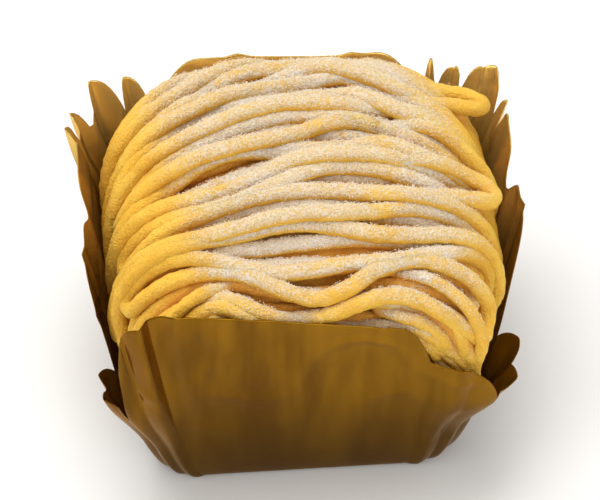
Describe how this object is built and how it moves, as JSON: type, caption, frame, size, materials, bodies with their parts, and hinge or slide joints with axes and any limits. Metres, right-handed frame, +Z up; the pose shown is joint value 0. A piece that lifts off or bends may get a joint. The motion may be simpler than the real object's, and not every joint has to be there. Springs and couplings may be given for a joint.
{
  "type": "mont blanc cake",
  "caption": "Small near-square mont blanc cake: a domed heap of piped chestnut cream strands on a sponge block, in its own pleated gold film case.",
  "frame": {"origin": "middle of the case's flat foot, on the surface it stands on", "axes": "+X along the piped strands, left to right; +Y to the back; +Z up"},
  "size_m": [0.0782, 0.0704, 0.0568],
  "materials": {
    "gold_film": "thin translucent gold film, satin, creased at the corners",
    "sponge": "soft matt crumb",
    "chestnut_cream": "matt yellow cream, dusted with powdered sugar on top"
  },
  "bodies": {
    "root": {"film_case": "gold_film", "sponge": "sponge", "chestnut_cream": "chestnut_cream"}
  },
  "joints": []
}
